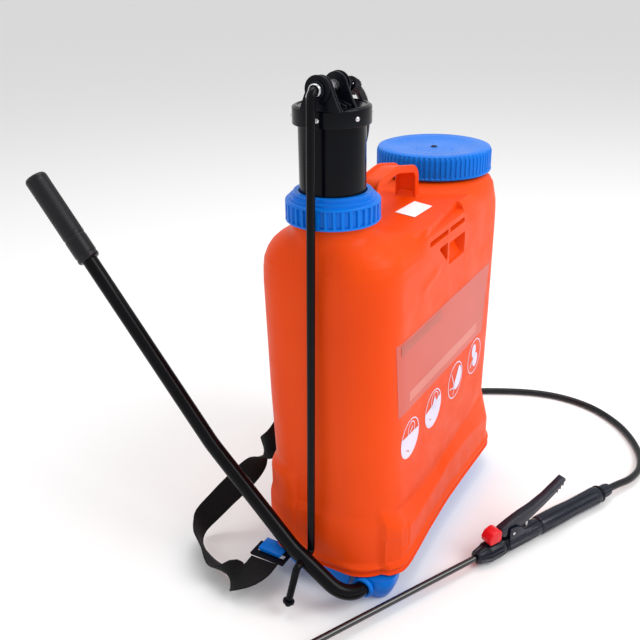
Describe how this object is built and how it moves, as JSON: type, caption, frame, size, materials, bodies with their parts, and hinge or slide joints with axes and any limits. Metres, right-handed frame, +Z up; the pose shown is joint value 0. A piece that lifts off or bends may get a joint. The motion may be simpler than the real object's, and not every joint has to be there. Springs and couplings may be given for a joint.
{
  "type": "backpack sprayer",
  "caption": "Knapsack sprayer with a moulded tank, side lever, rod-driven pump with plunger chamber, screw filler lid, hose, hand lance and shoulder straps.",
  "frame": {"origin": "on the ground under the middle of the tank, at the bottom face of the base keel", "axes": "+X along the tank from the pump to the filler, +Y towards the wearer's back, +Z up"},
  "size_m": [0.9018, 0.6817, 0.618],
  "materials": {
    "tank": "blow-moulded polyethylene, satin gloss",
    "blue_plastic": "injection-moulded, satin gloss",
    "base_plastic": "injection-moulded, satin gloss",
    "chamber_plastic": "injection-moulded, glossy",
    "black_plastic": "injection-moulded, satin",
    "grip_plastic": "knurled satin plastic",
    "coated_steel": "gloss black powder coat",
    "lance_metal": "gloss black coat",
    "hose_rubber": "smooth rubber hose",
    "webbing": "woven polypropylene webbing",
    "bright_steel": "bright zinc plate",
    "seal_rubber": "matte seal rubber",
    "barrel_plastic": "natural polypropylene",
    "red_plastic": "injection-moulded, satin gloss",
    "brass": "turned brass",
    "label": "thin translucent label film",
    "sticker": "blank paper sticker"
  },
  "bodies": {
    "root": {"tank_shell": "tank", "base_cover": "base_plastic", "base_screw_1": "bright_steel", "base_screw_2": "bright_steel", "base_screw_3": "bright_steel", "base_screw_4": "bright_steel", "lever_bush_outer": "black_plastic", "lever_bush_inner": "black_plastic", "pump_gasket": "seal_rubber", "pump_barrel": "barrel_plastic", "intake_valve_seat": "black_plastic", "hose_drop": "hose_rubber", "hose_floor": "hose_rubber", "strap_left": "webbing", "strap_right": "webbing", "strap_hook_left": "black_plastic", "strap_hook_right": "black_plastic", "strap_buckle_left": "black_plastic", "strap_buckle_right": "black_plastic", "strap_anchor": "black_plastic", "lance_nut": "black_plastic", "lance_tube": "lance_metal", "nozzle_body": "black_plastic", "lance_collar": "black_plastic", "valve_body": "black_plastic", "trigger_pin": "bright_steel", "handle_grip": "grip_plastic", "handle_end_ring": "black_plastic", "hose_nut": "black_plastic"},
    "intake_ball": {"intake_ball": "bright_steel"},
    "ring_nut": {"ring_nut": "blue_plastic"},
    "filler_lid": {"filler_gasket": "seal_rubber", "filler_strainer": "black_plastic"},
    "filler_cap": {"filler_cap": "blue_plastic", "vent_valve": "black_plastic"},
    "chamber": {"pressure_chamber": "chamber_plastic", "piston_cup": "seal_rubber", "chamber_cap": "chamber_plastic", "head_bracket": "chamber_plastic", "outlet_elbow": "black_plastic", "hose_nut_top": "black_plastic"},
    "lever": {"lever_tube": "coated_steel", "lever_grip": "grip_plastic", "lever_end_clip": "bright_steel"},
    "link": {"link_rod": "coated_steel", "link_disc_outer": "black_plastic", "link_disc_inner": "black_plastic", "link_clip": "bright_steel"},
    "trigger": {"trigger": "black_plastic"},
    "valve_stem": {"valve_stem": "bright_steel"},
    "lock_clip": {"lock_clip": "red_plastic"},
    "nozzle_cap": {"nozzle_cap": "brass"}
  },
  "joints": [
    {"name": "lever_swing", "type": "hinge", "parent": "root", "child": "lever", "pos_m": [-0.2185, -0.058, 0.0225], "axis": [-1, 0, 0], "range_deg": [0, 25]},
    {"name": "link_pivot", "type": "hinge", "parent": "lever", "child": "link", "pos_m": [-0.203, 0.004, 0.0634], "axis": [-1, 0, 0], "range_deg": [-26.5, 0]},
    {"name": "chamber_stroke", "type": "slide", "parent": "root", "child": "chamber", "axis": [0, 0, -1], "range_m": [0, 0.031], "deforming": ["hose_drop"]},
    {"name": "ring_nut_turn", "type": "hinge", "parent": "root", "child": "ring_nut", "pos_m": [-0.145, 0, 0.48], "axis": [0, 0, 1], "range_deg": [0, 360]},
    {"name": "filler_cap_lift", "type": "slide", "parent": "root", "child": "filler_lid", "axis": [0, 0, 1], "range_m": [0, 0.11]},
    {"name": "filler_cap_turn", "type": "hinge", "parent": "filler_lid", "child": "filler_cap", "pos_m": [0.132, 0, 0.48], "axis": [0, 0, 1], "range_deg": [0, 360]},
    {"name": "intake_ball_lift", "type": "slide", "parent": "root", "child": "intake_ball", "axis": [0, 0, 1], "range_m": [0, 0.004]},
    {"name": "trigger_squeeze", "type": "hinge", "parent": "root", "child": "trigger", "pos_m": [-0.01536, -0.18254, 0.033], "axis": [0.4618, 0.887, 0], "range_deg": [0, 14], "stiffness_Nm_per_rad": 2, "springref_deg": -5.73},
    {"name": "valve_stem_press", "type": "slide", "parent": "root", "child": "valve_stem", "axis": [0, 0, -1], "range_m": [0, 0.008]},
    {"name": "lock_clip_turn", "type": "hinge", "parent": "root", "child": "lock_clip", "pos_m": [-0.04729, -0.16592, 0.031], "axis": [-0.4618, -0.887, 0], "range_deg": [0, 35]},
    {"name": "nozzle_turn", "type": "hinge", "parent": "root", "child": "nozzle_cap", "pos_m": [-0.48281, 0.0608, 0.0135], "axis": [0.887, -0.4618, 0], "range_deg": [0, 360]}
  ],
  "couplings": [
    {"joint": "link_pivot", "follows": "lever_swing", "ratio": -1.0391},
    {"joint": "chamber_stroke", "follows": "lever_swing", "m_per_rad": 0.0699},
    {"joint": "valve_stem_press", "follows": "trigger_squeeze", "m_per_rad": 0.0325}
  ]
}
